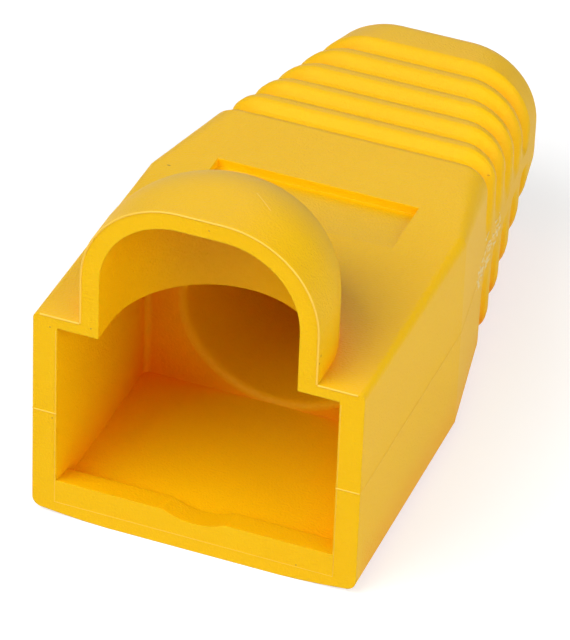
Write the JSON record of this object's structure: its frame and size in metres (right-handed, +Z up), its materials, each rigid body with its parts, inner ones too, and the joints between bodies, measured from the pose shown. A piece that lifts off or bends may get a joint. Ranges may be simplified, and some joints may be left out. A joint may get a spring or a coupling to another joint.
{
  "type": "rj45 strain relief boot",
  "caption": "Moulded strain relief boot for a modular network plug: open plug pocket, domed latch guard, shallow top recess and a tapered ribbed neck round the cable bore.",
  "frame": {"origin": "centre of the bounding box in X and Y, at the height of the flat underside", "axes": "+X across the width, +Y from the plug mouth to the cable exit, +Z up towards the latch guard"},
  "size_m": [0.0142, 0.0282, 0.0164],
  "materials": {
    "yellow_pvc": "moulded flexible PVC, satin, evenly coloured golden yellow"
  },
  "bodies": {
    "root": {"boot": "yellow_pvc"}
  },
  "joints": []
}
